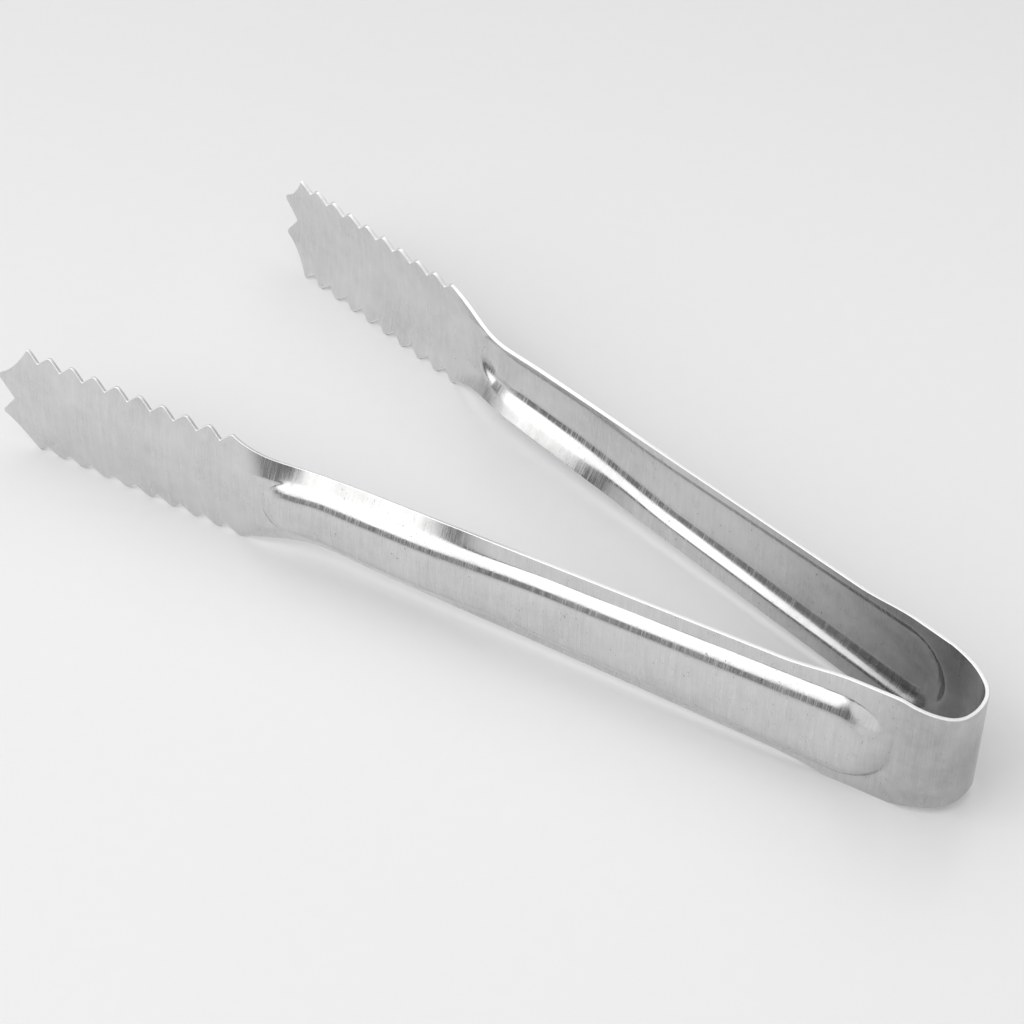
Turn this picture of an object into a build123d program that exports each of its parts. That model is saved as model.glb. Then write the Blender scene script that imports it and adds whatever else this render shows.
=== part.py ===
"""Spring ice tongs, pressed from one strip of thin stainless sheet and folded into a bow.

The tongs lie on the side edges of their strip, so the strip's width stands upright. The frame
has +Z up from the table, X along the tongs with the bow at +X and the jaw tips at -X, and the
left arm at -Y. The origin is the middle of the overall box, on the table.

The sheet is divided where it changes job: the bow's crown, a shoulder on each side of it, then
an embossed handle and a toothed, dished jaw on each arm. Each arm swings about an upright axis
at the root of its shoulder, which stands in for the elastic bending of the bow.
"""
import os
from math import asin, cos, radians, sin

from build123d import *

# Overall size, in mm and degrees
LENGTH = 180.0  # bow to jaw tips
STRIP_HEIGHT = 22.4  # widest part of the strip, which is the height of the tongs on the table
SHEET = 0.7  # thickness of the sheet
HALF_OPENING = 8.6  # angle of each arm to the centre plane, with the tongs at rest

# The bow: three tangent arcs on each side of its apex, along the middle of the sheet
CROWN_RADIUS = 9.5
CROWN_TURN = 15.2
CORNER_RADIUS = 5.1
CORNER_TURN = 39.3
SHOULDER_RADIUS = 11.8
SHOULDER_TURN = 90.0 - HALF_OPENING - CROWN_TURN - CORNER_TURN
BOW_HALF_HEIGHT = 9.3  # of the strip at the apex
SHOULDER_HALF_HEIGHT = 10.8  # of the strip where the straight arm begins

# The flexure: a round nose on the shoulder turns in a round socket in the crown
NOSE_RADIUS = SHEET / 2
SOCKET_RADIUS = NOSE_RADIUS + 0.05

# The handle, along the arm from the end of the shoulder
BELLY_START = 2.5  # the strip is at its full height over this stretch, and rests on it
BELLY_END = 9.5
GRIP_START = 22.0
GRIP_HALF_HEIGHT = 9.9
NECK_START = 97.0
NECK_START_HALF_HEIGHT = 8.4
NECK_HALF_HEIGHT = 7.95
NECK_NARROWEST = 108.5

# The emboss on the handle: a tapered channel that stands out of the arm
EMBOSS_HEIGHT = 1.9
EMBOSS_WALL = 2.4  # width of its sloped wall
EMBOSS_BIG_CENTRE = 9.2
EMBOSS_BIG_RADIUS = 7.9
EMBOSS_SMALL_CENTRE = 107.5
EMBOSS_SMALL_RADIUS = 5.3
INNER_BEND = 0.9  # inside radius of the bend round its flat top

# The jaw: a shallow gutter that the neck sets outwards of the handle
JAW_OFFSET = 2.36  # of the gutter's edges from the handle's sheet
JAW_DISH = 1.27  # depth of the gutter
JAW_LENGTH = 54.5  # from the end of the handle to the tips of the prongs
RAMP_START = 104.5
TOOTH_COUNT = 10
TOOTH_PITCH = 4.92
TOOTH_DEPTH = 1.85
TIP_TO_TOOTH = 6.3  # from the tips of the prongs to the last tooth
PRONG_HALF_GAP = 3.7
PRONG_LAND = 0.6
NOTCH_DEPTH = 3.0
SCOOP_DEPTH = 0.7

HALF_HEIGHT = STRIP_HEIGHT / 2
HALF_SHEET = SHEET / 2
MARGIN = 3.0  # by which a rough shape stands past the outline that trims it


# The middle of the sheet around the left half of the bow
apex = (LENGTH / 2 - HALF_SHEET, 0)
crown_arc = JernArc(apex, (0, -1), CROWN_RADIUS, -CROWN_TURN)
corner_arc = JernArc(crown_arc @ 1, crown_arc % 1, CORNER_RADIUS, -CORNER_TURN)
shoulder_arc = JernArc(corner_arc @ 1, corner_arc % 1, SHOULDER_RADIUS, -SHOULDER_TURN)
hinge_point = corner_arc @ 1
arm_start = shoulder_arc @ 1
arm_direction = shoulder_arc % 1

# The arm's own frame: x along the arm to its tip, y outwards, z up from the middle of the strip
arm_frame = Plane(
    origin=(arm_start.X, arm_start.Y, HALF_HEIGHT),
    x_dir=(arm_direction.X, arm_direction.Y, 0),
    z_dir=(0, 0, 1),
)


def gutter_depth(z):
    """Depth of the jaw's dish at a height z from its middle, as a circular section."""
    radius = (HALF_HEIGHT**2 + JAW_DISH**2) / (2 * JAW_DISH)
    return JAW_DISH - radius + (radius**2 - z**2) ** 0.5


# Length of the straight arm that brings the inner face of the prongs to the overall length
tip_inner_offset = JAW_OFFSET + gutter_depth(PRONG_HALF_GAP) - HALF_SHEET
ARM_LENGTH = (
    arm_start.X + LENGTH / 2 + sin(radians(HALF_OPENING)) * tip_inner_offset
) / cos(radians(HALF_OPENING))
JAW_START = ARM_LENGTH - JAW_LENGTH
LAST_TOOTH = ARM_LENGTH - TIP_TO_TOOTH
FIRST_TOOTH = LAST_TOOTH - (TOOTH_COUNT - 1) * TOOTH_PITCH
RAMP_END = FIRST_TOOTH


def bow_band(*arcs):
    """A band of sheet along arcs of the bow, trimmed to the strip's height there."""
    band = extrude(trace(list(arcs), SHEET), STRIP_HEIGHT)
    side_view = Plane(origin=(0, 0, HALF_HEIGHT), x_dir=(1, 0, 0), z_dir=(0, -1, 0))
    trim = side_view * make_face(
        Polyline(
            (LENGTH / 2, BOW_HALF_HEIGHT),
            (arm_start.X, SHOULDER_HALF_HEIGHT),
            (arm_start.X - MARGIN, SHOULDER_HALF_HEIGHT),
            (arm_start.X - MARGIN, -SHOULDER_HALF_HEIGHT),
            (arm_start.X, -SHOULDER_HALF_HEIGHT),
            (LENGTH / 2, -BOW_HALF_HEIGHT),
            close=True,
        )
    )
    return band & extrude(trim, LENGTH, both=True)


def hinge_cylinder(radius):
    """A round bar on the left hinge axis, as high as the strip is there."""
    return Pos(hinge_point.X, hinge_point.Y, 0) * Cylinder(
        radius, STRIP_HEIGHT, align=(Align.CENTER, Align.CENTER, Align.MIN)
    )


def bow_crown():
    """The crown of the bow, with a round socket at each end for a shoulder's nose."""
    half = bow_band(crown_arc, corner_arc) - hinge_cylinder(SOCKET_RADIUS)
    return half + mirror(half, Plane.XZ)


def shoulder():
    """The left shoulder: the bow's last arc, with a round nose on the hinge axis."""
    band = bow_band(shoulder_arc)
    nose_height = max(edge.length for edge in band.edges().filter_by(Axis.Z).group_by(Axis.X)[-1])
    nose = Pos(hinge_point.X, hinge_point.Y, HALF_HEIGHT) * Cylinder(NOSE_RADIUS, nose_height)
    return band + nose


def arm_outline():
    """The strip's outline along the straight arm, as a solid that trims the sheet."""
    neck_slope = (NECK_START_HALF_HEIGHT - GRIP_HALF_HEIGHT) / (NECK_START - GRIP_START)
    edge = [
        Polyline((0, 0), (0, SHOULDER_HALF_HEIGHT), (BELLY_START, HALF_HEIGHT), (BELLY_END, HALF_HEIGHT)),
        Spline(
            (BELLY_END, HALF_HEIGHT),
            (GRIP_START, GRIP_HALF_HEIGHT),
            tangents=[(1, 0), (1, neck_slope)],
        ),
        Line((GRIP_START, GRIP_HALF_HEIGHT), (NECK_START, NECK_START_HALF_HEIGHT)),
        Spline(
            (NECK_START, NECK_START_HALF_HEIGHT),
            (NECK_NARROWEST, NECK_HALF_HEIGHT),
            (FIRST_TOOTH, HALF_HEIGHT),
            tangents=[(1, neck_slope), (1, 0.5)],
        ),
    ]
    teeth = [(FIRST_TOOTH, HALF_HEIGHT)]
    for index in range(1, TOOTH_COUNT):
        peak = FIRST_TOOTH + index * TOOTH_PITCH
        teeth.append((peak - TOOTH_PITCH / 2, HALF_HEIGHT - TOOTH_DEPTH))
        teeth.append((peak, HALF_HEIGHT))
    edge.append(Polyline(*teeth))

    prong = Vector(ARM_LENGTH, PRONG_HALF_GAP + PRONG_LAND)
    last_tooth = Vector(LAST_TOOTH, HALF_HEIGHT)
    across = (prong - last_tooth).normalized().rotate(Axis.Z, -90)
    edge.append(ThreePointArc(last_tooth, (last_tooth + prong) / 2 + across * SCOOP_DEPTH, prong))
    edge.append(
        Polyline(prong, (ARM_LENGTH, PRONG_HALF_GAP), (ARM_LENGTH - NOTCH_DEPTH, 0), (0, 0))
    )
    half = make_face(edge)
    side_view = Plane(origin=(0, 0, 0), x_dir=(1, 0, 0), z_dir=(0, -1, 0))
    whole = side_view * (half + mirror(half, Plane.XZ))
    return extrude(whole, JAW_OFFSET + JAW_DISH + MARGIN, both=True)


def sheet_section(x, offset, dish):
    """The sheet's section across the arm: a band as thick as the sheet, bowed outwards."""
    top = HALF_HEIGHT + MARGIN / 10
    inner = offset - HALF_SHEET
    outer = offset + HALF_SHEET
    section = make_face(
        [
            ThreePointArc((inner, -top), (inner + dish, 0), (inner, top)),
            Line((inner, top), (outer, top)),
            ThreePointArc((outer, top), (outer + dish, 0), (outer, -top)),
            Line((outer, -top), (inner, -top)),
        ]
    )
    return Plane(origin=(x, 0, 0), x_dir=(0, 1, 0), z_dir=(1, 0, 0)) * section


def neck_ramp():
    """The sheet from the flat handle to the dished jaw, set outwards along a smooth S."""
    steps = 6
    sections = []
    for step in range(steps + 1):
        share = step / steps
        rise = share * share * (3 - 2 * share)
        x = RAMP_START + share * (RAMP_END - RAMP_START)
        sections.append(sheet_section(x, rise * JAW_OFFSET, max(rise * JAW_DISH, 0.01)))
    return loft(sections)


def emboss_outline(inset, y):
    """The emboss's outline at a height y of the arm's frame, drawn in all round by inset."""
    lean = asin((EMBOSS_BIG_RADIUS - EMBOSS_SMALL_RADIUS) / (EMBOSS_SMALL_CENTRE - EMBOSS_BIG_CENTRE))
    big = EMBOSS_BIG_RADIUS - inset
    small = EMBOSS_SMALL_RADIUS - inset
    big_side = (EMBOSS_BIG_CENTRE + big * sin(lean), big * cos(lean))
    small_side = (EMBOSS_SMALL_CENTRE + small * sin(lean), small * cos(lean))
    big_below = (big_side[0], -big_side[1])
    small_below = (small_side[0], -small_side[1])
    outline = make_face(
        [
            ThreePointArc(big_below, (EMBOSS_BIG_CENTRE - big, 0), big_side),
            Line(big_side, small_side),
            ThreePointArc(small_side, (EMBOSS_SMALL_CENTRE + small, 0), small_below),
            Line(small_below, big_below),
        ]
    )
    return Plane(origin=(0, y, 0), x_dir=(1, 0, 0), z_dir=(0, 1, 0)) * outline


def emboss_block(base):
    """The emboss as a solid block with sloped walls, standing outwards from y = base."""
    foot = emboss_outline(0, base)
    top = emboss_outline(EMBOSS_WALL, base + EMBOSS_HEIGHT)
    return loft([foot, top], ruled=True)


def round_bend(sheet, y, radius):
    """Round the bend of the emboss that lies in the plane at y."""
    reach = EMBOSS_BIG_RADIUS + HALF_SHEET
    bend = [
        edge
        for edge in sheet.edges()
        if max(abs(edge.bounding_box().min.Y - y), abs(edge.bounding_box().max.Y - y)) < 1e-3
        and max(abs(edge.bounding_box().min.Z), edge.bounding_box().max.Z) < reach
    ]
    return fillet(bend, radius)


def arm_sheet():
    """The whole straight arm before it is divided, in the arm's frame."""
    flat = Pos(RAMP_START / 2, 0, 0) * Box(RAMP_START, SHEET, STRIP_HEIGHT + MARGIN)
    gutter = extrude(sheet_section(RAMP_END, JAW_OFFSET, JAW_DISH), ARM_LENGTH + MARGIN - RAMP_END)
    sheet = flat + neck_ramp() + gutter + emboss_block(HALF_SHEET) - emboss_block(-HALF_SHEET)
    sheet = round_bend(sheet, HALF_SHEET + EMBOSS_HEIGHT, INNER_BEND + SHEET)
    sheet = round_bend(sheet, EMBOSS_HEIGHT - HALF_SHEET, INNER_BEND)
    return sheet & arm_outline()


def save(node, shape):
    """Write one node's solid to its STEP file."""
    print(node, "solids", len(shape.solids()), "volume", round(shape.volume, 1), "valid", shape.is_valid)
    export_step(shape, f"parts/{node}.step")


def main():
    """Build every node of the tongs and write it."""
    os.makedirs("parts", exist_ok=True)
    arm = arm_sheet()
    jaw_box = Pos(JAW_START, 0, 0) * Box(
        LENGTH, LENGTH, LENGTH, align=(Align.MIN, Align.CENTER, Align.CENTER)
    )
    left = {
        "shoulder": shoulder(),
        "handle": arm_frame * (arm - jaw_box),
        "jaw": arm_frame * (arm & jaw_box),
    }
    save("bow_crown", bow_crown())
    for name, shape in left.items():
        save(f"left_{name}", shape)
        save(f"right_{name}", mirror(shape, Plane.XZ))
    print("left hinge axis", hinge_point, "arm start", arm_start, "arm length", round(ARM_LENGTH, 2))


main()
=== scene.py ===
"""Visual model of the spring ice tongs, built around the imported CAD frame.

The tongs are one strip of satin stainless sheet, folded into a bow, with a pressed channel in
each handle and a dished, toothed jaw at the end of each arm. Every visible piece is a stretch of
that sheet: a middle surface worked out on a grid, given the sheet's thickness along its true
normal, and closed by cut edges with softened corners.
"""
import logging
from dataclasses import dataclass, field
from enum import Enum
from math import cos, pi, radians, sin
from typing import Any, Callable

import bpy
import numpy as np
from mathutils import Matrix, Vector


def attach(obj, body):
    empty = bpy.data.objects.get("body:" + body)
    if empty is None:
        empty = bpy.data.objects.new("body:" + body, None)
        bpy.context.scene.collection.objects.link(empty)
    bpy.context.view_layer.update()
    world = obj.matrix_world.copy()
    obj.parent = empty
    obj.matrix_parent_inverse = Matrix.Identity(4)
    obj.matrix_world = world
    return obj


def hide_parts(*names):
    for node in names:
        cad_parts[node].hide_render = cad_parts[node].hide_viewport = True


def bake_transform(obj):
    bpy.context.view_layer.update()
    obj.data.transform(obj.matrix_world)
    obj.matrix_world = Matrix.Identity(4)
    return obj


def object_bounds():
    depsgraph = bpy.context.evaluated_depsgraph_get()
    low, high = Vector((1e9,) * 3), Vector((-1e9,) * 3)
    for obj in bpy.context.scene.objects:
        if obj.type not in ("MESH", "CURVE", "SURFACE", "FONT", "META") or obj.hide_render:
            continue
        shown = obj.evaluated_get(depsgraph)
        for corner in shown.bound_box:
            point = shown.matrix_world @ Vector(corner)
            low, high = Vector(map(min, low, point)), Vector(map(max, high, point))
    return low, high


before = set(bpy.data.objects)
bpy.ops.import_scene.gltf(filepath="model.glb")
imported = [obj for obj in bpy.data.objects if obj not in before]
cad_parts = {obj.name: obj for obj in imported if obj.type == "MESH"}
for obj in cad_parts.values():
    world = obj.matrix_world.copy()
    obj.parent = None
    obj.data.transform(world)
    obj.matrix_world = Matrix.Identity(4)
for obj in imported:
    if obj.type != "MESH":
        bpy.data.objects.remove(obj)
CAD_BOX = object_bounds()

log = logging.getLogger("ice_tongs")
MM = 0.001
SHEET = 0.7 * MM
HALF_OPENING = radians(8.6)
SEAM_STEP = 0.05 * MM  # between the rows beside a seam
SLOPE_STEP = 0.05 * MM  # over which a surface's slope is taken


class Side(Enum):
    """Which arm a piece belongs to, as the sign of its Y."""

    LEFT = -1
    RIGHT = 1

    @property
    def body(self) -> str:
        """Name of the CAD body that the arm belongs to."""
        return f"{self.name.lower()}_arm"

    def node(self, part: str) -> str:
        """Name of the arm's CAD node for a part."""
        return f"{self.name.lower()}_{part}"


# --------------------------------------------------------------------------- sheet metal

@dataclass
class SheetGrid:
    """A stretch of sheet: its middle surface on a grid of rows along it and columns across."""

    middle: np.ndarray
    normal: np.ndarray
    quads: np.ndarray
    seam: np.ndarray
    edge_round: float = 0.11 * MM

    @staticmethod
    def from_halves(
        place: Callable[[np.ndarray, np.ndarray], tuple[np.ndarray, np.ndarray]],
        along: np.ndarray,
        inner: np.ndarray,
        outer: np.ndarray,
        columns: np.ndarray,
        seam_rows: tuple[bool, bool],
        flip: bool,
    ) -> "SheetGrid":
        """Lay rows along the sheet, each from its inner to its outer height, above and below.

        A point's height is inner + share * (outer - inner), mirrored for the lower half, and the
        two halves are welded wherever the inner height is zero.

        Args:
            place: gives positions and outward normals at distances along and heights.
            along: distance along the sheet of each row.
            inner: height at which each row starts.
            outer: height at which each row ends.
            columns: shares of the way from inner to outer, from 0 to 1.
            seam_rows: whether the first and the last row meet a neighbouring piece.
            flip: whether the grid's handedness has to be turned over.

        Returns:
            The grid, welded.
        """
        height = inner[:, None] + columns[None, :] * (outer - inner)[:, None]
        rows, cols = height.shape
        distance = np.repeat(along[:, None], cols, axis=1)
        both_height = np.concatenate([height, -height])
        both_distance = np.concatenate([distance, distance])
        position, normal = place(both_distance.ravel(), both_height.ravel())

        index = np.arange(2 * rows * cols).reshape(2, rows, cols)
        corners = [index[:, :-1, :-1], index[:, 1:, :-1], index[:, 1:, 1:], index[:, :-1, 1:]]
        quads = np.stack(corners, axis=-1)
        quads[1] = quads[1][..., ::-1]
        quads = quads.reshape(-1, 4)
        if flip:
            quads = quads[:, ::-1]

        at_seam = np.zeros((2, rows, cols), bool)
        at_seam[:, 0, :] = seam_rows[0]
        at_seam[:, -1, :] |= seam_rows[1]
        key = np.round(position / 1e-8).astype(np.int64)
        _, first, merged = np.unique(key, axis=0, return_index=True, return_inverse=True)
        merged = merged.reshape(-1)
        return SheetGrid(position[first], normal[first], merged[quads], at_seam.ravel()[first])

    def _rim(self) -> tuple[np.ndarray, np.ndarray, np.ndarray]:
        """Find the open edges and the direction in which each open vertex faces, in the sheet.

        A vertex's direction is the sum of its cut edges' directions over one plus their dot
        product, so that the offset from each edge is the same. Seam edges are left out.

        Returns:
            Edges as vertex pairs in face order, whether each is a seam, and the directions.
        """
        edges = self.quads[:, [0, 1, 1, 2, 2, 3, 3, 0]].reshape(-1, 2)
        edges = edges[edges[:, 0] != edges[:, 1]]
        code = edges.min(axis=1) * len(self.middle) + edges.max(axis=1)
        _, where, count = np.unique(code, return_inverse=True, return_counts=True)
        open_edges = edges[count[where.reshape(-1)] == 1]
        is_seam = self.seam[open_edges].all(axis=1)

        step = self.middle[open_edges[:, 1]] - self.middle[open_edges[:, 0]]
        facing = np.cross(step, self.normal[open_edges[:, 0]])
        facing /= np.linalg.norm(facing, axis=1, keepdims=True)
        total = np.zeros_like(self.middle)
        pieces = np.zeros(len(self.middle))
        for end in (0, 1):
            np.add.at(total, open_edges[~is_seam, end], facing[~is_seam])
            np.add.at(pieces, open_edges[~is_seam, end], 1.0)
        # |a + b|^2 = 2 (1 + a.b) for two unit vectors, and a single edge stays as it is
        spread = np.where(pieces > 1.5, (total**2).sum(axis=1) / 2, 1.0)
        return open_edges, is_seam, total / np.maximum(spread, 0.5)[:, None]

    def solid(self, name: str) -> bpy.types.Object:
        """Give the sheet its thickness and close it with cut edges.

        Both faces are the middle surface moved half the thickness along its normal. Each corner
        of the cut edge is a quarter circle of edge_round, in three facets, and the flat between
        them is square to the sheet. A seam is closed square, with no rounding.

        Args:
            name: name of the piece.

        Returns:
            The piece, with its outer face in material slot 0, its cut edges in slot 1 and its
            inner face in slot 2.
        """
        open_edges, is_seam, facing = self._rim()
        half = SHEET / 2
        turn = np.array([0.0, pi / 8, 3 * pi / 8, pi / 2])
        drop = self.edge_round * (1 - np.cos(turn))
        inset = self.edge_round * (1 - np.sin(turn))
        level = np.concatenate([half - drop, -(half - drop)[::-1]])
        inset = np.concatenate([inset, inset[::-1]])

        count = len(self.middle)
        open_verts = np.unique(open_edges)
        slot_of = np.full(count, -1)
        slot_of[open_verts] = np.arange(len(open_verts))
        rings = [
            self.middle[open_verts] + self.normal[open_verts] * level[k] - facing[open_verts] * inset[k]
            for k in range(len(level))
        ]
        outer = self.middle + self.normal * half
        inner = self.middle - self.normal * half
        outer[open_verts] = rings[0]
        inner[open_verts] = rings[-1]
        verts = np.concatenate([outer, inner] + rings[1:-1])

        def ring_vertex(ring: int, which: np.ndarray) -> np.ndarray:
            """Vertex numbers of one ring of the cut edge.

            Args:
                ring: Step across the edge, 0 at the first face and the last at the second.
                which: Numbers of the rim's vertices on the first face.

            Returns:
                Numbers of the same places on that ring.
            """
            if ring == 0:
                return which
            if ring == len(level) - 1:
                return which + count
            return 2 * count + (ring - 1) * len(open_verts) + slot_of[which]

        faces = [self.quads, self.quads[:, ::-1] + count]
        material = [np.zeros(len(self.quads), int), np.full(len(self.quads), 2)]
        first, second = open_edges[:, 0], open_edges[:, 1]
        for ring in range(len(level) - 1):
            rim = [
                ring_vertex(ring, second),
                ring_vertex(ring, first),
                ring_vertex(ring + 1, first),
                ring_vertex(ring + 1, second),
            ]
            faces.append(np.stack(rim, axis=1))
            material.append(np.where(is_seam, 0, 1))
        return make_mesh(name, verts, np.concatenate(faces), np.concatenate(material))


def make_mesh(
    name: str, verts: np.ndarray, faces: np.ndarray, material: np.ndarray
) -> bpy.types.Object:
    """Put arrays into a new smooth mesh object at the origin.

    Args:
        name: name of the object and of its mesh.
        verts: positions in metres.
        faces: four vertex numbers for each face.
        material: material slot of each face.

    Returns:
        The linked object.
    """
    mesh = bpy.data.meshes.new(name)
    mesh.vertices.add(len(verts))
    mesh.vertices.foreach_set("co", verts.astype(np.float32).ravel())
    mesh.loops.add(faces.size)
    mesh.loops.foreach_set("vertex_index", faces.astype(np.int32).ravel())
    mesh.polygons.add(len(faces))
    mesh.polygons.foreach_set("loop_start", np.arange(0, faces.size, 4, dtype=np.int32))
    mesh.polygons.foreach_set("material_index", material.astype(np.int32))
    mesh.polygons.foreach_set("use_smooth", np.ones(len(faces), bool))
    mesh.update(calc_edges=True)
    mesh.validate(clean_customdata=False)
    mesh.set_sharp_from_angle(angle=radians(60))
    piece = bpy.data.objects.new(name, mesh)
    bpy.context.scene.collection.objects.link(piece)
    return piece


def hermite(x: np.ndarray, knots: list[tuple[float, float, float]]) -> np.ndarray:
    """A smooth run through knots of place, value and slope, by cubic Hermite pieces.

    On each piece, with t from 0 to 1 over its width w, the value is
    (1 + 2t)(1 - t)^2 v0 + t(1 - t)^2 w s0 + t^2 (3 - 2t) v1 - t^2 (1 - t) w s1.

    Args:
        x: places to read.
        knots: place, value and slope of each knot, in order.

    Returns:
        The values.
    """
    place, value, slope = (np.array(part) for part in zip(*knots))
    piece = np.clip(np.searchsorted(place, x) - 1, 0, len(place) - 2)
    width = place[piece + 1] - place[piece]
    t = np.clip((x - place[piece]) / width, 0, 1)
    return (
        (1 + 2 * t) * (1 - t) ** 2 * value[piece]
        + t * (1 - t) ** 2 * width * slope[piece]
        + t**2 * (3 - 2 * t) * value[piece + 1]
        - t**2 * (1 - t) * width * slope[piece + 1]
    )


def ease(t: np.ndarray) -> np.ndarray:
    """Smooth step from 0 to 1: 3t^2 - 2t^3, held outside that span."""
    t = np.clip(t, 0, 1)
    return t * t * (3 - 2 * t)


def ramp(x: np.ndarray, start: float, end: float) -> np.ndarray:
    """Smooth step from 0 at start to 1 at end."""
    return ease((x - start) / (end - start))


def distinct(rows: np.ndarray) -> np.ndarray:
    """Rows in order, less any that is within a micrometre of the one before it."""
    rows = np.sort(rows)
    return rows[np.append(True, np.diff(rows) > 1e-6)]


def spaced(*runs: tuple[float, float, float]) -> np.ndarray:
    """Rows along a piece, evenly spaced within each run and joined without repeats.

    Args:
        runs: start, end and largest step of each run.

    Returns:
        The rows, in order.
    """
    parts = [
        np.linspace(start, end, max(int(np.ceil((end - start) / step)), 1) + 1)
        for start, end, step in runs
    ]
    return distinct(np.concatenate(parts))


# --------------------------------------------------------------------------- the bow

@dataclass
class Bow:
    """The bow: three tangent arcs on each side of its apex, in plan, with the strip upright."""

    crown_radius: float = 9.5 * MM
    crown_turn: float = radians(15.2)
    corner_radius: float = 5.1 * MM
    corner_turn: float = radians(39.3)
    shoulder_radius: float = 11.8 * MM
    apex_half_height: float = 9.3 * MM
    shoulder_half_height: float = 10.8 * MM
    flex_start: float = 1.0 * MM
    row_step: float = 0.2 * MM
    columns: int = 26
    apex: np.ndarray = field(init=False)
    middle_height: float = field(init=False)

    def __post_init__(self) -> None:
        """Take the bow's place from the CAD box."""
        low, high = CAD_BOX
        self.apex = np.array([high[0] - SHEET / 2, 0.0])
        self.middle_height = (low[2] + high[2]) / 2

    @property
    def arcs(self) -> list[tuple[float, float]]:
        """Radius and turn of each arc, from the apex to the straight arm.

        Returns:
            Radius in metres and turn in radians of the crown, the corner and the shoulder.
        """
        rest = pi / 2 - HALF_OPENING - self.crown_turn - self.corner_turn
        return [
            (self.crown_radius, self.crown_turn),
            (self.corner_radius, self.corner_turn),
            (self.shoulder_radius, rest),
        ]

    @property
    def length(self) -> float:
        """Length along the sheet from the apex to the straight arm."""
        return sum(radius * turn for radius, turn in self.arcs)

    def path(self, along: np.ndarray) -> tuple[np.ndarray, np.ndarray]:
        """Points and outward normals in plan along the left half of the bow.

        On an arc of radius r that starts heading at angle a, a distance d further on has turned
        by d / r, and the point has moved by r (sin a - sin(a - d/r), cos(a - d/r) - cos a).

        Args:
            along: distances from the apex.

        Returns:
            Points and normals, two columns each.
        """
        point = np.repeat(self.apex[None, :], len(along), axis=0)
        heading = np.full(len(along), -pi / 2)
        start, angle, done = self.apex.copy(), -pi / 2, 0.0
        for radius, turn in self.arcs:
            inside = along >= done
            bent = np.clip(along - done, 0, radius * turn) / radius
            moved = np.stack(
                [
                    radius * (np.sin(angle) - np.sin(angle - bent)),
                    radius * (np.cos(angle - bent) - np.cos(angle)),
                ],
                axis=1,
            )
            point[inside] = (start + moved)[inside]
            heading[inside] = (angle - bent)[inside]
            start = start + radius * np.array(
                [sin(angle) - sin(angle - turn), cos(angle - turn) - cos(angle)]
            )
            angle -= turn
            done += radius * turn
        return point, np.stack([-np.sin(heading), np.cos(heading)], axis=1)

    def half_height(self, along: np.ndarray) -> np.ndarray:
        """Half the strip's height, which grows evenly with X from the apex to the arm.

        Args:
            along: distances from the apex.

        Returns:
            The half heights.
        """
        point, _ = self.path(along)
        end, _ = self.path(np.array([self.length]))
        share = (self.apex[0] - point[:, 0]) / (self.apex[0] - end[0, 0])
        return self.apex_half_height + share * (self.shoulder_half_height - self.apex_half_height)

    def build(self, side: Side, finish: "SatinSteel") -> bpy.types.Object:
        """Make one half of the bow, from the crown to its arm.

        Args:
            side: the arm that the half leads to.
            finish: the steel's finish.

        Returns:
            The finished piece.
        """
        rows = spaced((0, self.row_step, SEAM_STEP), (self.row_step, self.length, self.row_step))

        def place(along: np.ndarray, height: np.ndarray) -> tuple[np.ndarray, np.ndarray]:
            """Raise the plan path to a height.

            Args:
                along: distances from the apex.
                height: heights above the strip's middle.

            Returns:
                Positions and outward normals.
            """
            point, outward = self.path(along)
            mirror = -side.value
            position = np.stack(
                [point[:, 0], mirror * point[:, 1], self.middle_height + height], axis=1
            )
            normal = np.stack([outward[:, 0], mirror * outward[:, 1], np.zeros(len(along))], axis=1)
            return position, normal

        grid = SheetGrid.from_halves(
            place,
            rows,
            np.zeros(len(rows)),
            self.half_height(rows),
            edge_columns(self.columns),
            (True, True),
            flip=side is Side.LEFT,
        )
        piece = grid.solid(f"bow_{side.name.lower()}_half")
        finish.dress(piece)
        arm_start, _ = self.path(np.array([self.length]))
        end = (arm_start[0, 0], -side.value * arm_start[0, 1], self.middle_height)
        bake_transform(piece)
        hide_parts(side.node("shoulder"), "bow_crown")
        return piece


def edge_columns(count: int) -> np.ndarray:
    """Shares across half the strip: even, with two closer ones beside the cut edge."""
    return np.concatenate([np.linspace(0, 0.955, count), [0.98, 1.0]])


# --------------------------------------------------------------------------- the arms

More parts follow.
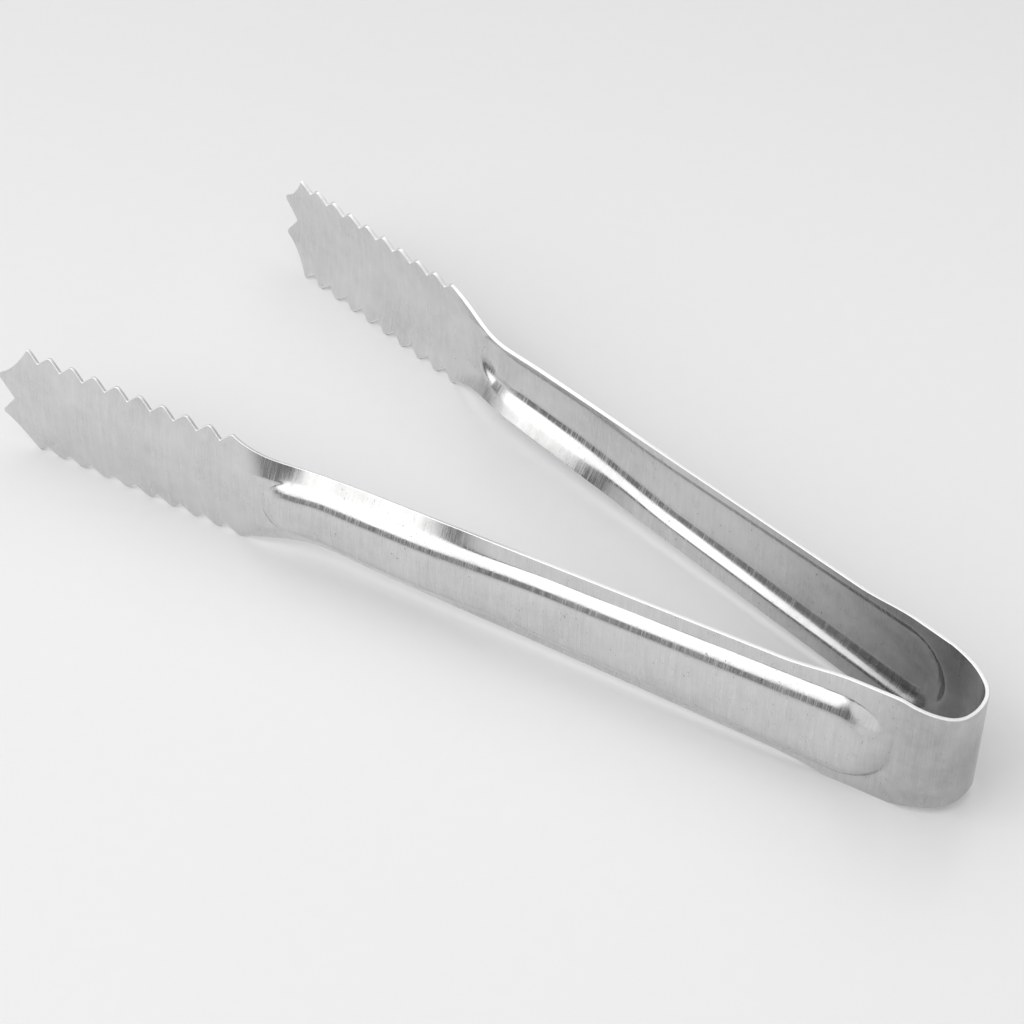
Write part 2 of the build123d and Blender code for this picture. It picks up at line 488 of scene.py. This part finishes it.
@dataclass
class Emboss:
    """The channel pressed outwards in a handle: a tapered slot with a crisp foot."""

    wall_slope: float = 1.0
    wall_run: float = 0.65 * MM
    shoulder_run: float = 2.6 * MM
    wall_taper: float = 0.2
    foot_round: float = 0.16 * MM
    crown: float = 0.45 * MM
    crown_run: float = 4.0 * MM
    crown_start: float = 0.6
    big_centre: float = 11.2 * MM
    big_radius: float = 8.2 * MM
    big_stretch: float = 1.1
    small_centre: float = 112.5 * MM
    small_radius: float = 5.45 * MM

    def depth_inside(self, along: np.ndarray, height: np.ndarray) -> np.ndarray:
        """Distance inside the slot's outline, which is the hull of its two rounded ends.

        With b the fall of the radius over the length between centres and a = sqrt(1 - b^2), a
        point beside the straight flank is at r1 - (a |z| + b x); past either end, the distance
        is that end's radius less the distance from its centre. The end by the bow is an
        ellipse, stretched along the handle, so its wall is gentler there.

        Args:
            along: distances along the arm.
            height: heights above the slot's middle.

        Returns:
            The distances, negative outside the slot.
        """
        span = self.small_centre - self.big_centre
        fall = (self.big_radius - self.small_radius) / span
        upright = np.sqrt(1 - fall**2)
        x = along - self.big_centre
        z = np.abs(height)
        flank = self.big_radius - (upright * z + fall * x)
        lean = upright * x - fall * z
        big_end = self.big_radius - np.hypot(x / self.big_stretch, z)
        small_end = self.small_radius - np.hypot(x - span, z)
        return np.where(lean < 0, big_end, np.where(lean > upright * span, small_end, flank))

    def rise(self, along: np.ndarray, height: np.ndarray) -> np.ndarray:
        """How far the channel stands out at each point.

        The slope is even over wall_run from the foot and falls evenly to nothing over
        shoulder_run. From crown_start of the way over the shoulder, a parabola crowns the top.
        Both runs shorten evenly by wall_taper towards the neck. The foot itself is rounded by
        taking 0.5 (d + sqrt(d^2 + r^2)) for the distance d inside the outline.

        Args:
            along: distances along the arm.
            height: heights above the slot's middle.

        Returns:
            The outward rise.
        """
        inside = self.depth_inside(along, height)
        inside = 0.5 * (inside + np.sqrt(inside**2 + self.foot_round**2))
        share = np.clip((along - self.big_centre) / (self.small_centre - self.big_centre), 0, 1)
        wall = self.wall_run * (1 - self.wall_taper * share)
        bend = self.shoulder_run * (1 - self.wall_taper * share)
        on_wall = np.minimum(inside, wall)
        on_shoulder = np.clip(inside - wall, 0, bend)
        shoulder = on_shoulder - on_shoulder**2 / (2 * bend)
        top = np.clip((inside - wall - bend * self.crown_start) / self.crown_run, 0, 1)
        return self.wall_slope * (on_wall + shoulder) + self.crown * (1 - (1 - top) ** 2)


@dataclass
class Jaw:
    """The jaw: a shallow toothed gutter, set outwards of the handle by the neck's ramp."""

    offset: float = 2.36 * MM
    dish: float = 1.27 * MM
    length: float = 54.5 * MM
    tooth_count: int = 10
    tooth_pitch: float = 4.92 * MM
    tooth_depth: float = 1.85 * MM
    crest_round: float = 0.22
    row_count: int = 20
    columns: int = 28
    tip_to_tooth: float = 6.3 * MM
    prong_half_gap: float = 3.7 * MM
    prong_land: float = 0.6 * MM
    notch_depth: float = 3.0 * MM
    scoop: float = 0.91 * MM


@dataclass
class Arm:
    """One arm: its embossed handle, its neck and its jaw."""

    side: Side
    bow: Bow
    emboss: Emboss = field(default_factory=Emboss)
    jaw: Jaw = field(default_factory=Jaw)
    half_height: float = 11.2 * MM
    belly: tuple[float, float] = (2.5 * MM, 9.5 * MM)
    grip: tuple[float, float] = (22.0 * MM, 9.9 * MM)
    neck_start: tuple[float, float] = (97.0 * MM, 8.4 * MM)
    neck: tuple[float, float] = (108.5 * MM, 7.95 * MM)
    belly_slope: float = 0.2
    roof_slope: float = -0.02
    neck_end_slope: float = 0.5
    emboss_shift: float = 0.8 * MM
    shift_reach: tuple[float, float] = (60 * MM, 100 * MM)
    ramp_start: float = 106.0 * MM
    fade_reach: tuple[float, float] = (110 * MM, 126 * MM)
    flare_slope: float = 0.68
    flare_reach: tuple[float, float] = (62 * MM, 92 * MM)
    columns: int = 38

    def __post_init__(self) -> None:
        """Take the arm's place from the bow's end and its length from the CAD box."""
        end, _ = self.bow.path(np.array([self.bow.length]))
        self.origin = end[0]
        self.along = np.array([-cos(HALF_OPENING), -sin(HALF_OPENING)])
        self.outward = np.array([sin(HALF_OPENING), -cos(HALF_OPENING)])
        tip_inner = self.jaw.offset + self.dish_depth(np.array(self.jaw.prong_half_gap)) - SHEET / 2
        reach = self.origin[0] - CAD_BOX[0][0] + sin(HALF_OPENING) * float(tip_inner)
        self.length = reach / cos(HALF_OPENING)
        self.jaw_start = self.length - self.jaw.length
        self.last_tooth = self.length - self.jaw.tip_to_tooth
        self.first_tooth = self.last_tooth - (self.jaw.tooth_count - 1) * self.jaw.tooth_pitch

    def foot_half_height(self, along: np.ndarray) -> np.ndarray:
        """Half the width of the emboss at its foot, an even taper along the handle.

        Args:
            along: distances along the arm.

        Returns:
            The half widths.
        """
        emboss = self.emboss
        share = (along - emboss.big_centre) / (emboss.small_centre - emboss.big_centre)
        return emboss.big_radius + share * (emboss.small_radius - emboss.big_radius)

    def half_height_at(self, along: np.ndarray) -> np.ndarray:
        """Half the strip's height along the neck, for the roof that the flanges form.

        Args:
            along: distances along the arm.

        Returns:
            The half heights, without the teeth.
        """
        return hermite(
            along,
            [
                (*self.grip, self.roof_slope),
                (*self.neck_start, self.roof_slope),
                (*self.neck, 0.0),
                (self.first_tooth, self.half_height, self.neck_end_slope),
            ],
        )

    def dish_depth(self, height: np.ndarray) -> np.ndarray:
        """Depth of the gutter at a height: a circular arc that is zero at its edges."""
        radius = (self.half_height**2 + self.jaw.dish**2) / (2 * self.jaw.dish)
        return self.jaw.dish - radius + np.sqrt(radius**2 - np.square(height))

    def flare(self, along: np.ndarray) -> np.ndarray:
        """Slope of the flanges towards the other arm, which comes in only along the neck."""
        return self.flare_slope * ramp(along, *self.flare_reach)

    def offset(self, along: np.ndarray, height: np.ndarray) -> np.ndarray:
        """Outward offset of the sheet's middle.

        Along the handle it is the emboss. Along the neck the flanges lean in, which is a roof
        of the flare's slope from the strip's edge up to the foot of the emboss. Both fade into
        the dish by one eased share, while the whole strip steps out by another. Near the bow
        the emboss sits a little off the strip's middle.

        Args:
            along: distances along the arm.
            height: heights above the strip's middle.

        Returns:
            The offsets.
        """
        step_out = ramp(along, self.ramp_start, self.first_tooth)
        fade = ramp(along, *self.fade_reach)
        shift = self.side.value * self.emboss_shift * (1 - ramp(along, *self.shift_reach))
        raised = self.emboss.rise(along, height - shift)
        foot = self.foot_half_height(along)
        foot = foot + shift * np.clip(height / foot, -1, 1)
        roof = self.half_height_at(along) - np.maximum(np.abs(height), foot)
        section = raised + self.flare(along) * roof
        dish = self.dish_depth(height)
        return self.jaw.offset * step_out + section * (1 - fade) + dish * fade

    def place(self, along: np.ndarray, height: np.ndarray) -> tuple[np.ndarray, np.ndarray]:
        """Positions and outward normals on the middle surface.

        The surface is y = f(x, z) in the arm's frame, so its normal is (-df/dx, 1, -df/dz).

        Args:
            along: distances along the arm.
            height: heights above the strip's middle.

        Returns:
            Positions and outward normals.
        """
        step = SLOPE_STEP
        out = self.offset(along, height)
        rise_x = self.offset(along + step, height) - self.offset(along - step, height)
        rise_z = self.offset(along, height + step) - self.offset(along, height - step)
        slope_x = rise_x / (2 * step)
        slope_z = rise_z / (2 * step)
        plan = self.origin + along[:, None] * self.along + out[:, None] * self.outward
        facing = self.outward - slope_x[:, None] * self.along
        mirror = -self.side.value
        position = np.stack(
            [plan[:, 0], mirror * plan[:, 1], self.bow.middle_height + height], axis=1
        )
        normal = np.stack([facing[:, 0], mirror * facing[:, 1], -slope_z], axis=1)
        return position, normal / np.linalg.norm(normal, axis=1, keepdims=True)

    def outline(self, along: np.ndarray) -> np.ndarray:
        """Half the strip's height: belly, grip, neck, then the teeth and the scooped corner.

        The teeth are a triangle wave w that is full at each crest, blunted by taking
        sqrt(w^2 + b^2) - b in its place. The corner is the straight line from the last tooth
        to the prong, less a parabolic arch of scoop depth.

        Args:
            along: distances along the arm.

        Returns:
            The half heights.
        """
        grip_slope = (self.neck_start[1] - self.grip[1]) / (self.neck_start[0] - self.grip[0])
        body = hermite(
            along,
            [
                (0.0, self.bow.shoulder_half_height, self.belly_slope),
                (self.belly[0], self.half_height, 0.0),
                (self.belly[1], self.half_height, 0.0),
                (*self.grip, grip_slope),
                (*self.neck_start, grip_slope),
                (*self.neck, 0.0),
                (self.first_tooth, self.half_height, self.neck_end_slope),
            ],
        )
        wave = np.abs(((along - self.first_tooth) / self.jaw.tooth_pitch + 0.5) % 1 - 0.5) * 2
        blunt = self.jaw.crest_round
        wave = (np.sqrt(wave**2 + blunt**2) - blunt) / (np.sqrt(1 + blunt**2) - blunt)
        teeth = self.half_height - self.jaw.tooth_depth * wave
        share = np.clip((along - self.last_tooth) / self.jaw.tip_to_tooth, 0, 1)
        prong = self.jaw.prong_half_gap + self.jaw.prong_land
        corner = self.half_height + share * (prong - self.half_height)
        corner -= 4 * self.jaw.scoop * share * (1 - share)
        toothed = np.where(along < self.last_tooth, teeth, corner)
        return np.where(along < self.first_tooth, body, toothed)

    def notch(self, along: np.ndarray) -> np.ndarray:
        """Half the width of the V notch between the prongs, zero before it starts."""
        share = (along - (self.length - self.jaw.notch_depth)) / self.jaw.notch_depth
        return np.clip(share, 0, 1) * self.jaw.prong_half_gap

    def _piece(
        self, name: str, rows: np.ndarray, columns: np.ndarray, seam_rows: tuple[bool, bool]
    ) -> bpy.types.Object:
        """Make the stretch of the arm over some rows and let it ride on the arm's body.

        Args:
            name: name of the piece, without its side.
            rows: distance along the arm of each row.
            columns: shares across half the strip.
            seam_rows: whether the first and the last row meet a neighbouring piece.

        Returns:
            The piece, without its finish.
        """
        grid = SheetGrid.from_halves(
            self.place, rows, self.notch(rows), self.outline(rows), columns, seam_rows,
            flip=self.side is Side.LEFT,
        )
        piece = grid.solid(self.side.node(name))
        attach(piece, self.side.body)
        return piece

    def build_handle(self, finish: "SatinSteel") -> bpy.types.Object:
        """Make the embossed handle with its neck, with closer rows where the emboss ends.

        Args:
            finish: the steel's finish.

        Returns:
            The finished piece.
        """
        end_rows = 0.25 * MM
        start = self.emboss.big_centre + 3 * MM
        end = self.emboss.small_centre - 12 * MM
        rows = spaced(
            (0, 2 * SEAM_STEP, SEAM_STEP),
            (2 * SEAM_STEP, start, end_rows),
            (start, end, 0.7 * MM),
            (end, self.jaw_start, end_rows),
        )
        piece = self._piece("handle_skin", rows, edge_columns(self.columns), (True, True))
        finish.dress(piece)
        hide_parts(self.side.node("handle"))
        self.side.node("handle")
        return piece

    def build_jaw(self, finish: "SatinSteel") -> bpy.types.Object:
        """Make the toothed jaw, with a row on every crest and valley.

        Args:
            finish: the steel's finish.

        Returns:
            The finished piece.
        """
        step = self.jaw.tooth_pitch / self.jaw.row_count
        notch_start = self.length - self.jaw.notch_depth
        neck = spaced((self.jaw_start, self.first_tooth, 0.25 * MM))
        teeth = np.arange(self.first_tooth, self.last_tooth + step / 2, step)
        end = spaced(
            (self.last_tooth, notch_start, 0.2 * MM), (notch_start, self.length, 0.15 * MM)
        )
        rows = distinct(np.concatenate([neck, teeth, end]))
        piece = self._piece("jaw_skin", rows, edge_columns(self.jaw.columns), (True, False))
        finish.dress(piece)
        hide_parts(self.side.node("jaw"))
        self.side.node("jaw")
        return piece


# --------------------------------------------------------------------------- finishes

class Value:
    """A shader value: a socket whose arithmetic adds Math nodes."""

    def __init__(self, shader: "Shader", socket: bpy.types.NodeSocket) -> None:
        """Wrap a socket of a shader."""
        self.shader = shader
        self.socket = socket

    def _math(self, operation: str, first: Any, second: Any) -> "Value":
        """Add one Math node."""
        return self.shader.node(
            "ShaderNodeMath", {"operation": operation}, {0: first, 1: second}
        )["Value"]

    def __add__(self, other: Any) -> "Value":
        """Sum."""
        return self._math("ADD", self, other)

    __radd__ = __add__

    def __sub__(self, other: Any) -> "Value":
        """Difference."""
        return self._math("SUBTRACT", self, other)

    def __rsub__(self, other: Any) -> "Value":
        """Difference, taken from a number."""
        return self._math("SUBTRACT", other, self)

    def __mul__(self, other: Any) -> "Value":
        """Product."""
        return self._math("MULTIPLY", self, other)

    __rmul__ = __mul__

    def smooth(self, low: float, high: float) -> "Value":
        """Smooth step of the value.

        Args:
            low: value at which the step is 0.
            high: value at which the step is 1.

        Returns:
            The step, from 0 to 1.
        """
        return self.shader.node(
            "ShaderNodeMapRange",
            {"interpolation_type": "SMOOTHSTEP"},
            {"Value": self, "From Min": low, "From Max": high, "To Min": 0.0, "To Max": 1.0},
        )["Result"]


class Shader:
    """A material's node tree, with one method that adds any node."""

    def __init__(self, name: str) -> None:
        """Start an empty material.

        Args:
            name: Name of the material.
        """
        self.material = bpy.data.materials.new(name)
        self.material.use_nodes = True
        self.tree = self.material.node_tree
        self.tree.nodes.clear()

    def node(
        self, kind: str, settings: dict[str, Any], inputs: dict[Any, Any]
    ) -> dict[str, Value]:
        """Add one node.

        Args:
            kind: the node's type.
            settings: properties, set before its sockets are used.
            inputs: a value or a link for each named or numbered socket.

        Returns:
            Its enabled outputs by name.
        """
        made = self.tree.nodes.new(kind)
        for name, value in settings.items():
            setattr(made, name, value)
        for key, value in inputs.items():
            socket = made.inputs[key]
            if isinstance(value, Value):
                self.tree.links.new(value.socket, socket)
            else:
                socket.default_value = value
        return {out.name: Value(self, out) for out in made.outputs if out.enabled}

    def noise(
        self,
        size: tuple[float, float, float],
        turn: float = 0.0,
        detail: float = 2.0,
        roughness: float = 0.5,
    ) -> Value:
        """Noise on Object coordinates, from 0 to 1.

        Args:
            size: how large one blotch is along each turned axis, in millimetres.
            turn: angle about Z that the first axis is turned by, in radians.
            detail: octaves.
            roughness: strength of each finer octave against the one before.

        Returns:
            The noise.
        """
        place = self.node("ShaderNodeTexCoord", {}, {})["Object"]
        turned = self.node(
            "ShaderNodeMapping",
            {"vector_type": "TEXTURE"},
            {
                "Vector": place,
                "Rotation": (0.0, 0.0, turn),
                "Scale": tuple(part * MM for part in size),
            },
        )["Vector"]
        return self.node(
            "ShaderNodeTexNoise",
            {},
            {"Vector": turned, "Scale": 1.0, "Detail": detail, "Roughness": roughness},
        )["Fac"]

    def mix(self, share: Any, first: Any, second: Any) -> Value:
        """Mix two colours by a share."""
        return self.node(
            "ShaderNodeMix", {"data_type": "RGBA"}, {0: share, 6: first, 7: second}
        )["Result"]


@dataclass(frozen=True)
class SatinSteel:
    """Satin stainless steel, brushed across the strip, with smudges and fine pits.

    The brush lines run up the strip. On an arm they are turned to its direction and take no
    notice of the third axis, so that they run straight over the walls of the emboss.
    """

    name: str
    turn: float | None = None
    tint: tuple[float, float, float] = (0.64, 0.637, 0.633)
    roughness: float = 0.22
    lines: float = 1.0
    smudge: float = 1.0
    pits: float = 0.8
    # painted shade towards the bow: where it comes in along X on the inner and the outer faces, and its
    # colour
    inner_shade_reach: tuple[float, float] = (28 * MM, 84 * MM)
    outer_shade_reach: tuple[float, float] = (70 * MM, 84 * MM)
    painted_shade_colour: tuple[float, float, float] = (0.20, 0.199, 0.198)
    pitted: tuple[float, float, float] = (0.26, 0.255, 0.25)

    def dress(self, piece: bpy.types.Object) -> None:
        """Finish a piece: satin outside, bright on its cut edges, and darker inside by painted shade
        towards the bow.
        """
        piece.data.materials.append(self.sheet_material(False))
        piece.data.materials.append(self.edge_material())
        piece.data.materials.append(self.sheet_material(True))

    def _line_noise(self, shader: Shader, width: float, length: float) -> Value:
        """Noise in lines up the strip.

        Args:
            shader: the material.
            width: width of a line in millimetres.
            length: length of a line in millimetres.

        Returns:
            The noise, the same all through an arm's thickness.
        """
        through = width if self.turn is None else 1e6
        return shader.noise((width, through, length), self.turn or 0.0, 2.0, 0.6)

    def sheet_material(self, inside: bool) -> bpy.types.Material:
        """Material of the sheet's faces.

        Fine and coarse brush lines and two sizes of smudge each shift the colour and the
        roughness a little. Pits are where fine noise is high inside the broad smudges. Painted
        shade darkens the steel towards the bow, most of all inside, mottled by the smudges.

        Args:
            inside: whether the face looks at the other arm.

        Returns:
            The material.
        """
        shader = Shader(f"{self.name}_inside" if inside else self.name)
        fine = self._line_noise(shader, 0.16, 5.0)
        coarse = self._line_noise(shader, 0.9, 16.0)
        broad = shader.noise((14.0, 14.0, 9.0), 0.0, 3.0, 0.55)
        mottle = shader.noise((2.6, 2.6, 2.6), 0.0, 4.0, 0.6)
        specks = shader.noise((0.42, 0.42, 0.42), 0.0, 1.0, 0.5)
        pit = specks.smooth(0.69, 0.75) * mottle.smooth(0.42, 0.62) * self.pits
        wear = (fine - 0.5) * (0.85 * self.lines) + (coarse - 0.5) * (0.55 * self.lines)
        stain = (broad - 0.5) * (0.55 * self.smudge) + (mottle - 0.5) * (0.35 * self.smudge)
        rough = self.roughness + wear * 0.45 + stain * 0.35 + pit * 0.3
        dark = tuple(0.70 * part for part in self.tint)
        light = tuple(min(1.0, 1.14 * part) for part in self.tint)
        level = 0.62 + wear * 0.9 - stain * 0.8
        streaked = shader.mix(level, (*dark, 1), (*light, 1))
        place = shader.node("ShaderNodeTexCoord", {}, {})["Object"]
        x = shader.node("ShaderNodeSeparateXYZ", {}, {"Vector": place})["X"]
        # painted shade: darker towards the bow, most of all on the faces that look at the other arm
        reach, share = (self.inner_shade_reach, 0.8) if inside else (self.outer_shade_reach, 0.32)
        painted_shade = x.smooth(*reach) * (share + stain * 0.8)
        streaked = shader.mix(painted_shade, streaked, (*self.painted_shade_colour, 1))
        colour = shader.mix(pit, streaked, (*self.pitted, 1))
        grain = fine * 0.8 + coarse * 0.5 - pit * 0.8
        bump = shader.node(
            "ShaderNodeBump",
            {},
            {"Strength": 0.16, "Distance": 0.00003, "Height": grain},
        )["Normal"]
        bsdf = shader.node(
            "ShaderNodeBsdfPrincipled",
            {},
            {"Base Color": colour, "Metallic": 1.0, "Roughness": rough, "Normal": bump},
        )["BSDF"]
        shader.node("ShaderNodeOutputMaterial", {}, {"Surface": bsdf})
        return shader.material

    def edge_material(self) -> bpy.types.Material:
        """Material of the cut edges: bright sheared metal with fine marks across it.

        Returns:
            The material.
        """
        shader = Shader(f"{self.name}_cut_edge")
        marks = shader.noise((0.4, 0.4, 0.4), 0.0, 3.0, 0.6)
        rough = 0.42 + marks * 0.2
        colour = shader.mix(marks, (1.0, 1.0, 1.0, 1), (0.82, 0.82, 0.82, 1))
        bsdf = shader.node(
            "ShaderNodeBsdfPrincipled",
            {},
            {"Base Color": colour, "Metallic": 1.0, "Roughness": rough},
        )["BSDF"]
        shader.node("ShaderNodeOutputMaterial", {}, {"Surface": bsdf})
        return shader.material


# --------------------------------------------------------------------------- the studio

@dataclass(frozen=True)
class Softbox:
    """A rectangular soft light, seen from the tongs in one direction."""

    name: str
    bearing: float
    elevation: float
    distance: float
    width: float
    height: float
    radiance: float
    mirrored_only: bool = False

    def hang(self) -> None:
        """Hang the light on its bearing, facing the tongs.

        A light that is mirrored only is a card that the steel reflects, and casts no shadow.

        Its power is pi times its radiance times its area, which is what an even, diffusely
        shining panel gives off.
        """
        light = bpy.data.lights.new(self.name, "AREA")
        light.shape = "RECTANGLE"
        light.size, light.size_y = self.width, self.height
        light.energy = pi * self.radiance * self.width * self.height
        lamp = bpy.data.objects.new(self.name, light)
        bpy.context.scene.collection.objects.link(lamp)
        lamp.visible_camera = False
        lamp.visible_diffuse = not self.mirrored_only
        bearing, rise = radians(self.bearing), radians(self.elevation)
        out = Vector((cos(bearing) * cos(rise), sin(bearing) * cos(rise), sin(rise)))
        turn = (-out).to_track_quat("-Z", "Y").to_matrix().to_4x4()
        lamp.matrix_world = Matrix.Translation(out * self.distance) @ turn


@dataclass
class Studio:
    """A pale table under broad soft light, and the camera."""

    table: tuple[float, float, float] = (0.80, 0.80, 0.805)
    table_size: float = 12.0
    room: tuple[float, float, float] = (0.20, 0.20, 0.202)
    lens: float = 90.36
    sensor: float = 36.0
    azimuth: float = 0.6828
    elevation: float = 0.7167
    roll: float = 0.0175
    distance: float = 0.4535
    target_from_apex: tuple[float, float] = (-98.0 * MM, 7.04 * MM)
    softboxes: tuple[Softbox, ...] = (
        Softbox("overhead_softbox", 145.0, 78.0, 0.75, 1.6, 1.6, 0.95),
        Softbox("front_window", -122.0, 38.0, 1.2, 1.28, 1.07, 1.65),
        Softbox("low_panel", -141.0, 7.0, 1.2, 0.62, 0.18, 0.8, mirrored_only=True),
        Softbox("side_panel", -44.0, 25.0, 1.2, 1.3, 1.08, 0.8),
    )

    def build_table(self) -> None:
        """Make the table's top, level with the underside of the tongs."""
        half = self.table_size / 2
        corners = np.array([[-half, -half], [half, -half], [half, half], [-half, half]])
        level = np.full((4, 1), CAD_BOX[0][2])
        top = make_mesh(
            "table_top", np.hstack([corners, level]), np.array([[0, 1, 2, 3]]), np.zeros(1, int)
        )
        shader = Shader("pale_table")
        shade = shader.noise((3.0, 3.0, 3.0), 1.0, 0.5)
        colour = shader.mix(
            shade, (*self.table, 1), tuple(0.985 * part for part in self.table) + (1,)
        )
        bsdf = shader.node(
            "ShaderNodeBsdfPrincipled",
            {},
            {"Base Color": colour, "Roughness": 0.3, "Specular IOR Level": 0.5},
        )["BSDF"]
        shader.node("ShaderNodeOutputMaterial", {}, {"Surface": bsdf})
        top.data.materials.append(shader.material)

    def build_room(self) -> None:
        """Leave the room around the table dim, so that the steel has something to mirror."""
        world = bpy.data.worlds.new("studio")
        bpy.context.scene.world = world
        world.use_nodes = True
        background = world.node_tree.nodes["Background"]
        background.inputs["Color"].default_value = (*self.room, 1)
        background.inputs["Strength"].default_value = 1.0
        bpy.context.scene.view_settings.view_transform = "Standard"

    def build_camera(self) -> None:
        """Place the camera on its sight line and turn it by its roll.

        The sight line runs back from the target along (sin a cos e, -cos a cos e, sin e).
        """
        back = Vector(
            (
                sin(self.azimuth) * cos(self.elevation),
                -cos(self.azimuth) * cos(self.elevation),
                sin(self.elevation),
            )
        )
        right = Vector((0, 0, 1)).cross(back).normalized()
        up = back.cross(right)
        level_right = right * cos(self.roll) + up * sin(self.roll)
        level_up = up * cos(self.roll) - right * sin(self.roll)
        target = Vector(
            (CAD_BOX[1][0] + self.target_from_apex[0], self.target_from_apex[1], CAD_BOX[0][2])
        )
        data = bpy.data.cameras.new("camera")
        data.sensor_width = self.sensor
        data.lens = self.lens
        data.clip_start = 0.01
        camera = bpy.data.objects.new("camera", data)
        bpy.context.scene.collection.objects.link(camera)
        turned = Matrix((level_right, level_up, back)).transposed().to_4x4()
        camera.matrix_world = Matrix.Translation(target + back * self.distance) @ turned
        bpy.context.scene.camera = camera

    def build(self) -> None:
        """Set up the whole studio."""
        self.build_table()
        self.build_room()
        for softbox in self.softboxes:
            softbox.hang()
        self.build_camera()


def main() -> None:
    """Build the tongs and the studio, and report each piece."""
    logging.basicConfig(level=logging.INFO, format="%(name)s: %(message)s")
    bow = Bow()
    for side in Side:
        arm = Arm(side, bow)
        turn = -side.value * HALF_OPENING
        pieces = [
            bow.build(side, SatinSteel(f"satin_steel_bow_{side.name.lower()}", pits=0.25)),
            arm.build_handle(SatinSteel(side.node("handle_brushed_steel"), turn)),
            arm.build_jaw(
                SatinSteel(side.node("jaw_brushed_steel"), turn, lines=0.8, smudge=1.2, pits=0.2)
            ),
        ]
        for piece in pieces:
            log.info("%s: %d faces", piece.name, len(piece.data.polygons))
    Studio().build()
    log.info("studio ready")


if __name__ == "__main__":
    main()
